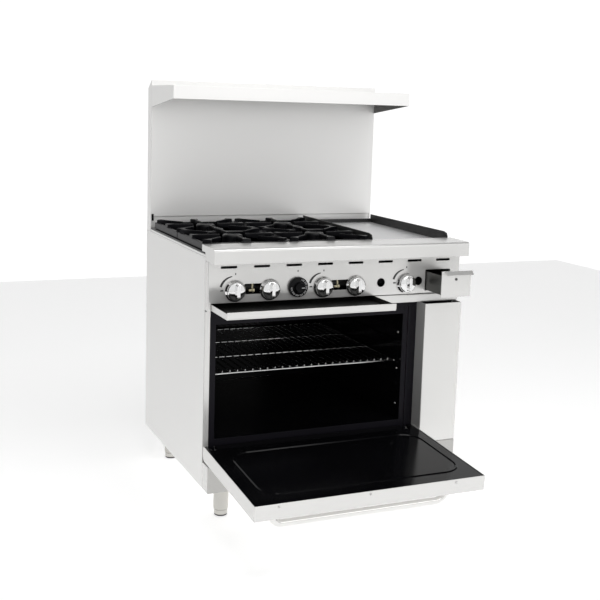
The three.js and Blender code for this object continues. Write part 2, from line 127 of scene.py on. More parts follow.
def finish(name, dark, pale, metal, rough, grain, depth, cloud=3.0, specular=None):
    """A surface whose colour drifts from dark to pale, with a fine grain in its gloss and relief.
    grain is how closely the lines lie along x, y and z, in lines to the metre. A low specular
    takes the mirror image off a dark surface."""
    material = bpy.data.materials.new(name)
    material.use_nodes = True
    nodes = material.node_tree.nodes
    links = material.node_tree.links
    shader = nodes["Principled BSDF"]
    shader.inputs["Metallic"].default_value = metal
    if specular is not None:
        shader.inputs["Specular IOR Level"].default_value = specular
    place = nodes.new("ShaderNodeTexCoord")
    lines = nodes.new("ShaderNodeMapping")
    lines.inputs["Scale"].default_value = grain
    fine = nodes.new("ShaderNodeTexNoise")
    fine.name = "grain"
    fine.inputs["Scale"].default_value = 1
    fine.inputs["Detail"].default_value = 4
    broad = nodes.new("ShaderNodeTexNoise")
    broad.name = "cloud"
    broad.inputs["Scale"].default_value = cloud
    broad.inputs["Detail"].default_value = 3
    tone = nodes.new("ShaderNodeMix")
    tone.name = "tone"
    tone.data_type = "RGBA"
    tone.inputs["A"].default_value = (*dark, 1)
    tone.inputs["B"].default_value = (*pale, 1)
    drift = nodes.new("ShaderNodeMath")
    drift.operation = "MULTIPLY_ADD"
    drift.inputs[1].default_value = 0.35
    gloss = nodes.new("ShaderNodeMapRange")
    gloss.name = "gloss"
    gloss.inputs["From Min"].default_value = 0.3
    gloss.inputs["From Max"].default_value = 0.7
    gloss.inputs["To Min"].default_value = rough[0]
    gloss.inputs["To Max"].default_value = rough[1]
    relief = nodes.new("ShaderNodeBump")
    relief.name = "relief"
    relief.inputs["Strength"].default_value = 1
    relief.inputs["Distance"].default_value = depth
    links.new(place.outputs["Object"], lines.inputs["Vector"])
    links.new(lines.outputs["Vector"], fine.inputs["Vector"])
    links.new(place.outputs["Object"], broad.inputs["Vector"])
    links.new(fine.outputs["Fac"], drift.inputs[0])
    links.new(broad.outputs["Fac"], drift.inputs[2])
    links.new(drift.outputs["Value"], tone.inputs["Factor"])
    links.new(tone.outputs["Result"], shader.inputs["Base Color"])
    links.new(fine.outputs["Fac"], gloss.inputs["Value"])
    links.new(gloss.outputs["Result"], shader.inputs["Roughness"])
    links.new(fine.outputs["Fac"], relief.inputs["Height"])
    links.new(relief.outputs["Normal"], shader.inputs["Normal"])
    return material


floor_size = 9
floor_glow = 0.52
bpy.ops.mesh.primitive_plane_add(size=floor_size, location=(0, 0, -0.0005))
floor = bpy.context.object
floor.name = "cove_floor"
painted_floor = finish(
    "painted_floor", (0.86, 0.86, 0.86), (0.9, 0.9, 0.9), 0, (0.6, 0.7), (30, 30, 30), 0.0001
)
floor_shader = painted_floor.node_tree.nodes["Principled BSDF"]
floor_shader.inputs["Emission Color"].default_value = white
floor_shader.inputs["Emission Strength"].default_value = floor_glow
floor.data.materials.append(painted_floor)


# ---------------------------------------------------------------- body sheets
# The body is a box of satin stainless sheet: two plain sides, a rear panel and a bottom pan.
# The edges are guillotined and deburred, and the sheets are screwed together from behind.
def alone(piece):
    """Leaves edit mode, and makes the piece the only one selected and the active one."""
    if bpy.context.mode != "OBJECT":
        bpy.ops.object.mode_set(mode="OBJECT")
    bpy.ops.object.select_all(action="DESELECT")
    piece.hide_viewport = False
    piece.select_set(True)
    bpy.context.view_layer.objects.active = piece


def pick(piece, kind, test):
    """Goes into edit mode with only the faces or edges selected whose middle and normal pass."""
    alone(piece)
    bpy.ops.object.mode_set(mode="EDIT")
    bpy.ops.mesh.select_mode(type=kind)
    bpy.ops.mesh.select_all(action="DESELECT")
    mesh = bmesh.from_edit_mesh(piece.data)
    if kind == "FACE":
        for face in mesh.faces:
            face.select_set(bool(test(face.calc_center_median(), face.normal)))
    elif kind == "EDGE":
        for edge in mesh.edges:
            first, last = edge.verts
            edge.select_set(bool(test((first.co + last.co) / 2, last.co - first.co)))
    else:
        for vertex in mesh.verts:
            vertex.select_set(bool(test(vertex.co, vertex.normal)))
    mesh.select_flush_mode()
    bmesh.update_edit_mesh(piece.data)


def whole(place, normal):
    """Passes everything, so that pick selects the whole piece."""
    return True


def shaped(piece, name, kind, **settings):
    """Adds one modifier to the active piece and applies it."""
    modifier = piece.modifiers.new(name, kind)
    for setting, value in settings.items():
        setattr(modifier, setting, value)
    bpy.ops.object.modifier_apply(modifier=name)


def joined(pieces):
    """Joins the pieces into the first of them."""
    alone(pieces[0])
    for piece in pieces[1:]:
        piece.select_set(True)
    if len(pieces) > 1:
        bpy.ops.object.join()
    return pieces[0]


def shade(piece, angle):
    """Shades the active piece smoothly between its edges, with the flat faces kept flat."""
    bpy.ops.object.shade_smooth_by_angle(angle=radians(angle))
    shaped(piece, "even", "WEIGHTED_NORMAL", keep_sharp=True)


def soften(piece, radius, segments=2, angle=40):
    """Rolls the sharp edges over and shades the piece smoothly between them."""
    alone(piece)
    shaped(
        piece, "edge", "BEVEL", width=radius, segments=segments, limit_method="ANGLE",
        angle_limit=radians(30), miter_outer="MITER_ARC",
    )
    shade(piece, angle)
    return piece


def sheet_from(node, name, radius=0.0006, segments=2):
    """The frame's own sheet as one joined mesh, with its flat faces cleaned and its edges rolled."""
    piece = bpy.data.objects.new(name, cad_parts[node].data.copy())
    bpy.context.collection.objects.link(piece)
    piece.data.materials.clear()
    pick(piece, "VERT", whole)
    bpy.ops.mesh.remove_doubles(threshold=0.00001)
    bpy.ops.mesh.dissolve_limited(angle_limit=radians(0.5))
    alone(piece)
    return soften(piece, radius, segments)


def fit(piece, material, slot, body, *nodes):
    """Gives a piece its finish, hangs it on its body and lets it stand for those frame nodes."""
    piece.data.materials.clear()
    piece.data.materials.append(material)
    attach(piece, body)
    if nodes:
        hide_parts(*nodes)
    return piece


def second_finish(piece, material, test):
    """Gives the faces whose middle and normal pass another finish than the rest of the piece."""
    piece.data.materials.append(material)
    for polygon in piece.data.polygons:
        if test(polygon.center, polygon.normal):
            polygon.material_index = 1


satin_steel = finish(
    "satin_steel", (0.88, 0.875, 0.862), (0.91, 0.905, 0.892), 0.45, (0.32, 0.38), (900, 14, 900), 0.000004
)
for node in ("left_side_panel", "right_side_panel", "rear_panel", "base_pan"):
    panel = sheet_from(node, node + "_sheet", 0.0007)
    fit(panel, satin_steel, "side_panel_steel", "chassis", node)


def settle(piece):
    """Puts the piece's own place, turn and size into its mesh. The piece is the active one."""
    bpy.ops.object.transform_apply(location=True, rotation=True, scale=True)
    return piece


def twin(piece, name):
    """A copy of a piece with a mesh of its own."""
    copy = piece.copy()
    copy.data = piece.data.copy()
    copy.name = name
    bpy.context.collection.objects.link(copy)
    return copy


def screw_heads(name, spots, outwards, radius, material, slot, body):
    """Pan-head screws with a dished face, modelled once and copied to each spot."""
    bpy.ops.mesh.primitive_cylinder_add(vertices=20, radius=radius, depth=radius * 0.5)
    head = bpy.context.object
    pick(head, "FACE", lambda place, normal: normal.z > 0.9)
    bpy.ops.mesh.inset(thickness=radius * 0.28)
    bpy.ops.transform.translate(value=(0, 0, radius * 0.18))
    bpy.ops.mesh.inset(thickness=radius * 0.34)
    bpy.ops.transform.translate(value=(0, 0, -radius * 0.3))
    alone(head)
    heads = [head] + [twin(head, name + "_copy") for spot in spots[1:]]
    turn = Vector((0, 0, 1)).rotation_difference(Vector(outwards))
    for head, spot in zip(heads, spots):
        head.matrix_world = Matrix.Translation(spot) @ turn.to_matrix().to_4x4()
    screws = settle(joined(heads))
    screws.name = name
    soften(screws, radius * 0.08, 1)
    return fit(screws, material, slot, body)


bright_zinc = finish(
    "bright_zinc", (0.5, 0.5, 0.5), (0.68, 0.68, 0.67), 1, (0.22, 0.34), (400, 400, 400), 0.00001
)
rear_low, rear_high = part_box("rear_panel")
rear_hem = 0.012
rear_rows = (rear_low.z + 0.015, rear_high.z - 0.015)
rear_face = rear_high.y + 0.0008
rear_x = (rear_low.x + rear_hem, rear_low.x * 0.5, 0, rear_high.x * 0.5, rear_high.x - rear_hem)
rear_spots = [(x, rear_face, z) for x in rear_x for z in rear_rows]
rear_spots += [
    (side * (rear_high.x - rear_hem), rear_face, rear_low.z + share * (rear_high.z - rear_low.z))
    for side in (-1, 1)
    for share in (0.33, 0.66)
]
screw_heads("rear_screws", rear_spots, (0, 1, 0), 0.0045, bright_zinc, "pipe_steel", "chassis")


# ---------------------------------------------------------------- legs and feet
# Four legs of bright drawn tube, each with a welded flange under the body and a levelling foot
# that screws up into it. A black rubber tread under each foot stands on the floor.
def turned(name, outline, place, axis=(0, 0, 1), sides=40):
    """Turns a piece up from a disc. The outline holds a radius and a distance along the axis for
    each shoulder, and the last one closes the piece."""
    bpy.ops.object.select_all(action="DESELECT")
    radius, height = outline[0]
    bpy.ops.mesh.primitive_circle_add(
        vertices=sides, radius=radius, fill_type="NGON", location=(0, 0, height)
    )
    piece = settle(bpy.context.object)
    piece.name = name
    bpy.ops.object.mode_set(mode="EDIT")
    bpy.ops.mesh.select_mode(type="FACE")
    bpy.ops.mesh.select_all(action="SELECT")
    for next_radius, next_height in outline[1:]:
        step = (0, 0, next_height - height)
        bpy.ops.mesh.extrude_region_move(TRANSFORM_OT_translate={"value": step})
        share = next_radius / radius
        bpy.ops.transform.resize(value=(share, share, 1), center_override=(0, 0, next_height))
        radius, height = next_radius, next_height
    bpy.ops.mesh.select_all(action="SELECT")
    bpy.ops.mesh.normals_make_consistent(inside=False)
    bpy.ops.object.mode_set(mode="OBJECT")
    turn = Vector((0, 0, 1)).rotation_difference(Vector(axis))
    piece.matrix_world = Matrix.Translation(place) @ turn.to_matrix().to_4x4()
    return settle(piece)


leg_tube = finish(
    "leg_tube", (0.46, 0.45, 0.42), (0.62, 0.61, 0.58), 1, (0.16, 0.26), (60, 60, 900), 0.00001
)
foot_rubber = finish(
    "foot_rubber", (0.012, 0.012, 0.012), (0.03, 0.03, 0.03), 0, (0.55, 0.7), (300, 300, 300), 0.0001
)
leg_outline = (
    (0.0225, 0.0222), (0.0245, 0.0222), (0.0255, 0.026), (0.0255, 0.108), (0.0262, 0.1105),
    (0.030, 0.1125), (0.030, 0.1166),
)
foot_outline = (
    (0.019, 0.0052), (0.0222, 0.0054), (0.0225, 0.007), (0.0225, 0.020), (0.0215, 0.0216),
    (0.012, 0.0216),
)
tread_outline = ((0.017, 0), (0.0205, 0.0006), (0.0218, 0.0022), (0.0218, 0.005), (0.016, 0.0051))
for corner in ("front_left", "front_right", "rear_left", "rear_right"):
    low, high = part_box("leg_" + corner)
    stand = ((low.x + high.x) / 2, (low.y + high.y) / 2, 0)
    leg = turned("leg_tube_" + corner, leg_outline, stand)
    soften(leg, 0.0006)
    fit(leg, leg_tube, "leg_steel", "chassis", "leg_" + corner)
    foot = turned("levelling_foot_" + corner, foot_outline, stand)
    soften(foot, 0.0005)
    fit(foot, leg_tube, "leg_steel", "chassis", "foot_" + corner)
    tread = turned("foot_tread_" + corner, tread_outline, stand)
    soften(tread, 0.0004)
    fit(tread, foot_rubber, "foot_black", "chassis")


# ---------------------------------------------------------------- front panels of the body
# The kick panel, the blank column beside the oven and the short rail over it are pans folded
# from brushed stainless, open at the back, with a bend radius a little over the sheet's own
# thickness. They screw onto a flat front frame.
def block(name, low, high):
    """A plain block between two corners, to be shaped."""
    bpy.ops.object.select_all(action="DESELECT")
    middle = (Vector(low) + Vector(high)) / 2
    bpy.ops.mesh.primitive_cube_add(size=1, location=middle)
    piece = bpy.context.object
    piece.name = name
    piece.scale = Vector(high) - Vector(low)
    return settle(piece)


fold_radius = 0.003
pan_sheet = 0.0018
joint_gap = 0.001
pan_shading = 35


def folded_pan(name, node, open_sides, bottom=None):
    """A pan the size of that frame node, folded from one sheet and open on the given sides. It
    stops short of what it closes against, so that the joint shows as a dark line. A bottom is
    the height where it ends if that is not the node's own."""
    low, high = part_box(node)
    high.y -= joint_gap
    low.z = bottom or low.z
    piece = block(name, low, high)
    pick(
        piece, "FACE",
        lambda place, normal: any(normal.dot(Vector(side)) > 0.9 for side in open_sides),
    )
    bpy.ops.mesh.delete(type="FACE")
    alone(piece)
    shaped(piece, "folds", "BEVEL", width=fold_radius, segments=4, limit_method="ANGLE")
    shaped(piece, "wall", "SOLIDIFY", thickness=pan_sheet, offset=-1, use_even_offset=True)
    shade(piece, pan_shading)
    return piece


brushed_steel = finish(
    "brushed_steel", (0.76, 0.755, 0.742), (0.8, 0.795, 0.782), 0.5, (0.18, 0.24), (16, 1100, 1100), 0.000004
)
rear_side = (0, 1, 0)
top_side = (0, 0, 1)
kick = folded_pan("kick_pan", "kick_panel", [rear_side])
# A darker copy of the brushed steel, used as painted shade on the kick's front face, which lies under the
# open door.
kick_painted_shade = finish(
    "kick_painted_shade", (0.485, 0.48, 0.465), (0.515, 0.51, 0.495), 0.6, (0.28, 0.3), (16, 1100, 1100), 0.000001
)
fit(kick, brushed_steel, "brushed_stainless", "chassis", "kick_panel")
# Only the front face gets the darker copy: painted shade for the shadow of the open door.
second_finish(kick, kick_painted_shade, lambda place, normal: normal.y < -0.5)
column = folded_pan("column_pan", "right_column", [rear_side, top_side])
fit(column, brushed_steel, "brushed_stainless", "chassis", "right_column")
rail = folded_pan("rail_pan", "lower_front_rail", [rear_side])
fit(rail, brushed_steel, "brushed_stainless", "chassis", "lower_front_rail")


# ---------------------------------------------------------------- oven
# The oven is a box of steel panels with fired black porcelain enamel, open at the front inside
# an enamelled face frame. Rack guides are pressed into both side liners, which are held by
# pan-head screws, and one cast burner lies under the floor.
black_enamel = finish(
    "black_enamel", (0.0015, 0.0015, 0.002), (0.004, 0.004, 0.005), 0, (0.12, 0.22),
    (220, 220, 220), 0.00003, specular=0.15,
)
face_enamel = finish(
    "face_enamel", (0.005, 0.0045, 0.007), (0.011, 0.010, 0.014), 0, (0.3, 0.42),
    (260, 260, 260), 0.00003, specular=0.12,
)
for part in ("liner_left", "liner_right", "liner_top", "liner_back", "floor"):
    liner = sheet_from("oven_" + part, "oven_" + part + "_enamelled", 0.001)
    fit(liner, black_enamel, "black_enamel", "chassis", "oven_" + part)
face = sheet_from("oven_face_frame", "oven_face_enamelled", 0.0008)
fit(face, face_enamel, "black_enamel", "chassis", "oven_face_frame")
front_sheet = sheet_from("front_frame", "front_frame_sheet")
fit(front_sheet, face_enamel, "black_enamel", "chassis", "front_frame")
left_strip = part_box("oven_face_frame")[0].x
pick(front_sheet, "FACE", whole)
bpy.ops.mesh.bisect(plane_co=(left_strip, 0, 0), plane_no=(1, 0, 0))
alone(front_sheet)
second_finish(front_sheet, brushed_steel, lambda place, normal: place.x < left_strip)

cast_iron = finish(
    "cast_iron", (0.0012, 0.0012, 0.0018), (0.005, 0.005, 0.007), 0, (0.3, 0.44),
    (700, 700, 700), 0.0001, specular=0.2,
)
oven_flame = sheet_from("oven_burner", "oven_burner_casting", 0.002)
fit(oven_flame, cast_iron, "grate_iron", "chassis", "oven_burner")

mouth_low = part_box("oven_liner_right")[0]
liner_face = mouth_low.x + 0.0035 - 0.0068
screw_column = mouth_low.y + 0.012
liner_spots = [(liner_face, screw_column, z) for z in (0.333, 0.459, 0.587)]
screw_heads(
    "oven_screws_right", liner_spots, (-1, 0, 0), 0.004, bright_zinc, "pipe_steel", "chassis"
)


# ---------------------------------------------------------------- gas train
# A black iron manifold pipe runs behind the panel, with a brass valve for each knob, the oven
# thermostat beside them and small brass pilot valves that show in the panel's two windows.
black_pipe = finish(
    "black_pipe", (0.07, 0.07, 0.07), (0.13, 0.13, 0.13), 0.7, (0.4, 0.55), (300, 300, 300), 0.00005
)
valve_brass = finish(
    "valve_brass", (0.42, 0.3, 0.12), (0.62, 0.46, 0.2), 1, (0.22, 0.38), (500, 500, 500), 0.00003
)
pilot_brass = finish(
    "pilot_brass", (0.66, 0.58, 0.36), (0.82, 0.76, 0.55), 0.5, (0.25, 0.4), (500, 500, 500), 0.00003
)
manifold = sheet_from("gas_manifold", "manifold_pipe", 0.001)
fit(manifold, black_pipe, "pipe_steel", "chassis", "gas_manifold")
valve_nodes = (
    "valve_front_left", "valve_rear_left", "valve_front_right", "valve_rear_right", "valve_griddle",
    "oven_thermostat",
)
for node in valve_nodes:
    body = sheet_from(node, node + "_body", 0.0008)
    fit(body, valve_brass, "valve_brass", "chassis", node)

panel_low, panel_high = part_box("control_panel")
burner_columns = {"left": -0.302, "right": -0.001}
pilot_z = 0.765
pilot_y = panel_low.y + 0.018
for number, x in enumerate(burner_columns.values()):
    nut = turned(
        f"pilot_nut_{number}",
        ((0.004, 0), (0.0065, 0.001), (0.0065, 0.009), (0.0045, 0.010), (0.0045, 0.019), (0.002, 0.021)),
        (x + 0.007, pilot_y, pilot_z), (-1, 0, 0), 6,
    )
    stem = turned(
        f"pilot_stem_{number}",
        ((0.003, 0), (0.0035, 0.002), (0.0035, 0.022), (0.0028, 0.024)),
        (x - 0.001, pilot_y, pilot_z + 0.006), (0, 0, 1), 12,
    )
    pilot = soften(joined([nut, stem]), 0.0004, 1)
    fit(pilot, pilot_brass, "valve_brass", "chassis")


# ---------------------------------------------------------------- control panel
# The panel is one folded pan of brushed stainless, punched with eight vent slots, two pilot
# windows, two round pilot holes and the drawer opening. The marks round the knobs are printed.
panel = folded_pan("panel_pan", "control_panel", [rear_side, top_side], bottom=0.73)
panel_post = block(
    "panel_post", panel_low, (panel_low.x + 0.010, panel_high.y - 0.0013, 0.7312)
)
soften(panel_post, 0.0012)
punch_reach = 0.01
slot_count = 8
slot_pitch = 0.1112
first_slot = -0.389


def punch(name, left, right, bottom, top):
    """A block that cuts a window with rounded corners through the panel."""
    cutter = block(
        name, (left, panel_low.y - punch_reach, bottom), (right, panel_low.y + punch_reach, top)
    )
    pick(cutter, "EDGE", lambda place, along: abs(along.y) > 0.005)
    bpy.ops.mesh.bevel(offset=0.0022, segments=3)
    alone(cutter)
    return cutter


def cut_away(piece, name, cutter):
    """Cuts the cutter's shape out of the piece and throws the cutter away."""
    alone(piece)
    shaped(piece, name, "BOOLEAN", operation="DIFFERENCE", object=cutter)
    bpy.data.objects.remove(cutter)


cutters = []
for number in range(slot_count):
    x = first_slot + slot_pitch * number
    cutters.append(punch(f"slot_cutter_{number}", x - 0.027, x + 0.027, 0.841, 0.849))
for number, x in enumerate(burner_columns.values()):
    cutters.append(punch(f"window_cutter_{number}", x - 0.034, x + 0.034, 0.756, 0.790))
cutters.append(punch("drawer_cutter", 0.322, 0.420, 0.739, 0.812))
hole_outline = ((0.015, -punch_reach), (0.015, punch_reach))
for number, x in enumerate((0.152, 0.296)):
    place = (x, panel_low.y, 0.774)
    cutters.append(turned(f"pilot_hole_cutter_{number}", hole_outline, place, (0, -1, 0)))
cut_away(panel, "punched", joined(cutters))
joined([panel, panel_post])
bpy.ops.object.shade_smooth_by_angle(angle=radians(pan_shading))
fit(panel, brushed_steel, "brushed_stainless", "chassis", "control_panel")

panel_ink = finish(
    "panel_ink", (0.01, 0.01, 0.01), (0.02, 0.02, 0.02), 0, (0.4, 0.5), (500, 500, 500), 0.00001
)
ink_back = panel_low.y - 0.0001
ink_front = ink_back - 0.00015


def printed_arc(name, x, z, radius, width, start, sweep):
    """A crescent of ink, drawn round the knob from its thick end and drawn thinner at each step."""
    steps = 14
    thinning = 0.8 / 6
    ink = block(name, (x - radius - width, ink_front, z - 0.0012), (x - radius, ink_back, z))
    pick(ink, "FACE", whole)
    bpy.ops.transform.rotate(value=-start, orient_axis="Y", center_override=(x, 0, z))
    pick(ink, "FACE", lambda place, normal: normal.z > 0.9)
    for number in range(steps):
        bpy.ops.mesh.extrude_region_move(TRANSFORM_OT_translate={"value": (0, 0, 0)})
        bpy.ops.transform.rotate(
            value=-sweep / steps, orient_axis="Y", center_override=(x, 0, z)
        )
        shrink = 1 - thinning * number / steps
        middle = start + sweep * (number + 1) / steps
        edge = (x - radius * cos(middle), ink_back, z + radius * sin(middle))
        bpy.ops.transform.resize(value=(shrink, 1, shrink), center_override=edge)
    alone(ink)
    return ink


def printed_block(name, left, right, bottom, top):
    """A short straight mark."""
    return block(name, (left, ink_front, bottom), (right, ink_back, top))


marked_knobs = {"front_left": -0.368, "front_right": -0.062, "griddle": 0.247}
arc_z = 0.769
print_marks = []
for name, x in marked_knobs.items():
    print_marks += [
        printed_arc("arc_" + name, x, arc_z, 0.0458, 0.0075, radians(18), radians(60)),
        printed_block("tick_" + name, x - 0.0485, x - 0.0385, 0.7688, 0.7732),
        printed_block("dot_" + name, x - 0.0005, x + 0.003, 0.820, 0.826),
    ]
print_marks.append(printed_block("dot_dial", -0.1545, -0.151, 0.822, 0.828))
for mark in print_marks:
    alone(mark)
    shaped(mark, "rounded", "BEVEL", width=0.0006, limit_method="ANGLE")
    fit(mark, panel_ink, "dial_black", "chassis")


# ---------------------------------------------------------------- front ledge
# The belly rail is a bright brushed shelf across the full width, with its front edge rolled to
# a wide radius and its ends closed by welded plates. It hangs over the control panel.
nose_low, nose_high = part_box("bullnose_ledge")
ledge_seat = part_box("left_side_panel")[0].y
ledge_under = 0.8895
roll_radius = 0.009
ledge = block("ledge_roll", (nose_low.x, nose_low.y, ledge_under), nose_high)
pick(ledge, "FACE", whole)
bpy.ops.mesh.bisect(plane_co=(0, ledge_seat, 0), plane_no=(0, 1, 0))
pick(ledge, "FACE", lambda place, normal: normal.z < -0.9 and place.y < ledge_seat)
bpy.ops.mesh.extrude_region_move(TRANSFORM_OT_translate={"value": (0, 0, nose_low.z - ledge_under)})
nose_top = nose_high.z - 0.001
nose_front = nose_low.y + 0.001
pick(
    ledge, "EDGE",
    lambda place, along: abs(along.x) > 0.5 and place.z > nose_top and place.y < nose_front,
)
bpy.ops.mesh.bevel(offset=roll_radius, segments=8)
alone(ledge)
soften(ledge, 0.0012, 2, 30)
fit(ledge, brushed_steel, "brushed_stainless", "chassis", "bullnose_ledge")


# ---------------------------------------------------------------- cooktop
# A welded frame carries the grates and the griddle. Its lip under the grates is painted black as
# painted shade, for the dark gap under the grate rails, and each open burner is a round cast head
# with slotted ports on a cast tube that reaches forward to its valve.
cooktop = sheet_from("cooktop_frame", "cooktop_frame_sheet")
fit(cooktop, brushed_steel, "brushed_stainless", "chassis", "cooktop_frame")
frame_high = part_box("cooktop_frame")[1]
lip_z = frame_high.z - 0.0062
outer_face = frame_high.x - 0.003
section_edge = 0.1505
pick(cooktop, "FACE", whole)
bpy.ops.mesh.bisect(plane_co=(0, 0, lip_z), plane_no=(0, 0, 1))
alone(cooktop)


def painted_shade_lip(place, normal):
    """Left of the griddle, apart from the bare steel that shows outside below the lip: these faces get the
    black of the painted shade.
    """
    outside = abs(place.x) > outer_face and place.z < lip_z
    return place.x < section_edge and not outside


# The black here is painted shade, standing for the dark gap under the grate rails.
second_finish(cooktop, black_enamel, painted_shade_lip)

head_outline = (
    (0.016, 0), (0.018, 0.002), (0.018, 0.034), (0.043, 0.044), (0.047, 0.048), (0.047, 0.056),
    (0.038, 0.060), (0.0348, 0.061), (0.0348, 0.091), (0.0338, 0.0945), (0.031, 0.0975),
    (0.022, 0.099), (0.016, 0.0965), (0.010, 0.096),
)
head_radius = 0.047
head_foot = 0.822
tube_z = 0.826
head_sides = 48
port_facets = (
    0, 2, 4, 5, 6, 7, 8, 9, 10, 11, 20, 22, 24, 34, 36, 38, 39, 40, 41, 42, 43, 44, 45, 46,
)


def is_port(place, normal):
    """A facet of the upright wall under the cap that has a port, counted round from +X."""
    if abs(normal.z) > 0.1 or not 0.885 <= place.z <= 0.912:
        return False
    share = atan2(place.y - centre[1], place.x - centre[0]) / (2 * pi) % 1
    return int(share * head_sides) in port_facets


for side, column_x in burner_columns.items():
    for row in ("front", "rear"):
        node = f"burner_{row}_{side}"
        low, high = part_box(node)
        centre = (column_x, high.y - head_radius, head_foot)
        head = turned(f"head_{row}_{side}", head_outline, centre, sides=head_sides)
        pick(head, "FACE", is_port)
        bpy.ops.mesh.inset(thickness=0.0012, use_individual=True)
        bpy.ops.mesh.extrude_region_shrink_fatten(TRANSFORM_OT_shrink_fatten={"value": -0.003})
        alone(head)
        tube_reach = centre[1] - low.y
        throat = turned(
            f"throat_{row}_{side}",
            ((0.013, 0), (0.0145, 0.004), (0.013, 0.02), (0.013, tube_reach)),
            (column_x, low.y, tube_z), (0, 1, 0), 20,
        )
        burner = soften(joined([head, throat]), 0.0005, 1)
        fit(burner, cast_iron, "grate_iron", "chassis", node)


# ---------------------------------------------------------------- backguard and high shelf
# The flue riser is a box of the same satin sheet as the sides, with a sloped cap and a shallow
# step at its foot. The high shelf is a folded tray on it, with tapered end brackets and a deep
# front lip.
guard = sheet_from("backguard", "backguard_sheet", 0.0016, 3)
# A paler copy of the sides' satin steel: painted light that lifts the riser and the shelf out of the shade
# under the shelf.
guard_steel_painted_pale = finish(
    "guard_steel_painted_pale", (0.92, 0.915, 0.902), (0.95, 0.945, 0.932), 0.3, (0.3, 0.36), (14, 900, 900), 0.000004
)
fit(guard, guard_steel_painted_pale, "side_panel_steel", "chassis", "backguard")
shelf = sheet_from("high_shelf", "high_shelf_sheet", 0.0018, 3)
# A dark copy of the steel, used as painted shade on the shelf's undersides and on the inner face of its
# right end bracket.
shelf_painted_shade = finish(
    "shelf_painted_shade", (0.12, 0.12, 0.115), (0.18, 0.18, 0.175), 0.6, (0.3, 0.4), (14, 900, 900), 0.000004
)
fit(shelf, guard_steel_painted_pale, "side_panel_steel", "chassis", "high_shelf")
second_finish(
    shelf, shelf_painted_shade,
    lambda place, normal: normal.z < -0.6 or (normal.x < -0.6 and place.x > 0.3),
)
riser_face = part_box("backguard")[0].y
# A small black tab at the left end of the riser's foot: painted shade standing for the dark end of the
# recess there.
shade_tab = block(
    "corner_shade_tab", (-0.4535, riser_face - 0.0065, 0.914), (-0.4465, riser_face - 0.001, 0.939)
)
soften(shade_tab, 0.0008)
fit(shade_tab, black_enamel, "black_enamel", "chassis")


# ---------------------------------------------------------------- griddle
# A thick plate of ground steel with a trough milled across its front, inside a splash guard of
# dark hot-rolled sheet that is welded to the plate's sides and back.
ground_steel = finish(
    "ground_steel", (0.66, 0.66, 0.67), (0.78, 0.78, 0.785), 0.6, (0.28, 0.4), (1100, 30, 1100), 0.00004, 6
)
plate = sheet_from("griddle_plate", "griddle_plate_ground", 0.0012)
fit(plate, ground_steel, "griddle_plate_steel", "chassis", "griddle_plate")
hot_rolled = finish(
    "hot_rolled", (0.018, 0.018, 0.018), (0.045, 0.045, 0.045), 0.4, (0.34, 0.5), (240, 240, 240), 0.00006
)
splash = sheet_from("griddle_splash", "griddle_splash_sheet", 0.0009)
fit(splash, hot_rolled, "splash_steel", "chassis", "griddle_splash")
griddle_flame = sheet_from("griddle_burner", "griddle_burner_tubes", 0.001)
fit(griddle_flame, cast_iron, "grate_iron", "chassis", "griddle_burner")


# ---------------------------------------------------------------- oven door
# The door is a brushed pan with an enamelled lining pressed with one long bead, closed round the
# edge with screws. It turns at its foot on two arms and stands open here.
for side in ("left", "right"):
    arm = sheet_from("hinge_arm_" + side, f"hinge_arm_{side}_forged", 0.0006)
    fit(arm, black_pipe, "pipe_steel", "chassis", "hinge_arm_" + side)
skin = sheet_from("door_skin", "door_pan", 0.0009, 3)
fit(skin, brushed_steel, "brushed_stainless", "oven_door", "door_skin")
door_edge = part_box("left_side_panel")[0].y
hinge_place = Vector((0, door_edge - 0.0316, 0.2395))
door_open = radians(93.1)
hung = (
    Matrix.Translation(hinge_place)
    @ Matrix.Rotation(door_open, 4, "X")
    @ Matrix.Translation(-hinge_place)
)


def hang(piece):
    """Swings a piece that was made on the closed door out to where the door stands open."""
    alone(piece)
    piece.matrix_world = hung
    return settle(piece)


lining_low = Vector((-0.4532, door_edge - 0.0216, 0.2143))
lining_high = Vector((0.3092, door_edge - 0.0146, 0.6767))
bead_low = (-0.403, 0.29)
bead_high = (0.279, 0.622)
bead_width = 0.010
bead_rise = 0.0030
bead_corner = 0.07
first_inset = 0.03
lining = block("door_lining", lining_low, lining_high)
rib = block(
    "lining_rib", (0.197, lining_high.y - 0.002, 0.335), (0.203, lining_high.y + 0.0022, 0.585)
)
soften(rib, 0.0019, 4)
pick(lining, "FACE", lambda place, normal: normal.y > 0.9)
bpy.ops.mesh.inset(thickness=first_inset)
middle = (lining_low + lining_high) / 2
inner_size = (
    lining_high.x - lining_low.x - 2 * first_inset, lining_high.z - lining_low.z - 2 * first_inset,
)
bead_size = (bead_high[0] - bead_low[0], bead_high[1] - bead_low[1])
bead_middle = ((bead_high[0] + bead_low[0]) / 2, (bead_high[1] + bead_low[1]) / 2)
bpy.ops.transform.resize(
    value=(bead_size[0] / inner_size[0], 1, bead_size[1] / inner_size[1]), center_override=middle
)
bpy.ops.transform.translate(value=(bead_middle[0] - middle.x, 0, bead_middle[1] - middle.z))
bpy.ops.mesh.bevel(offset=bead_corner, segments=12, affect="VERTICES")
bpy.ops.mesh.select_mode(type="FACE")


def inside_bead(place, normal):
    """The one large face that the bead runs round."""
    middle_of_bead = Vector((bead_middle[0], place.y, bead_middle[1]))
    return normal.y > 0.9 and (place - middle_of_bead).length < 0.01


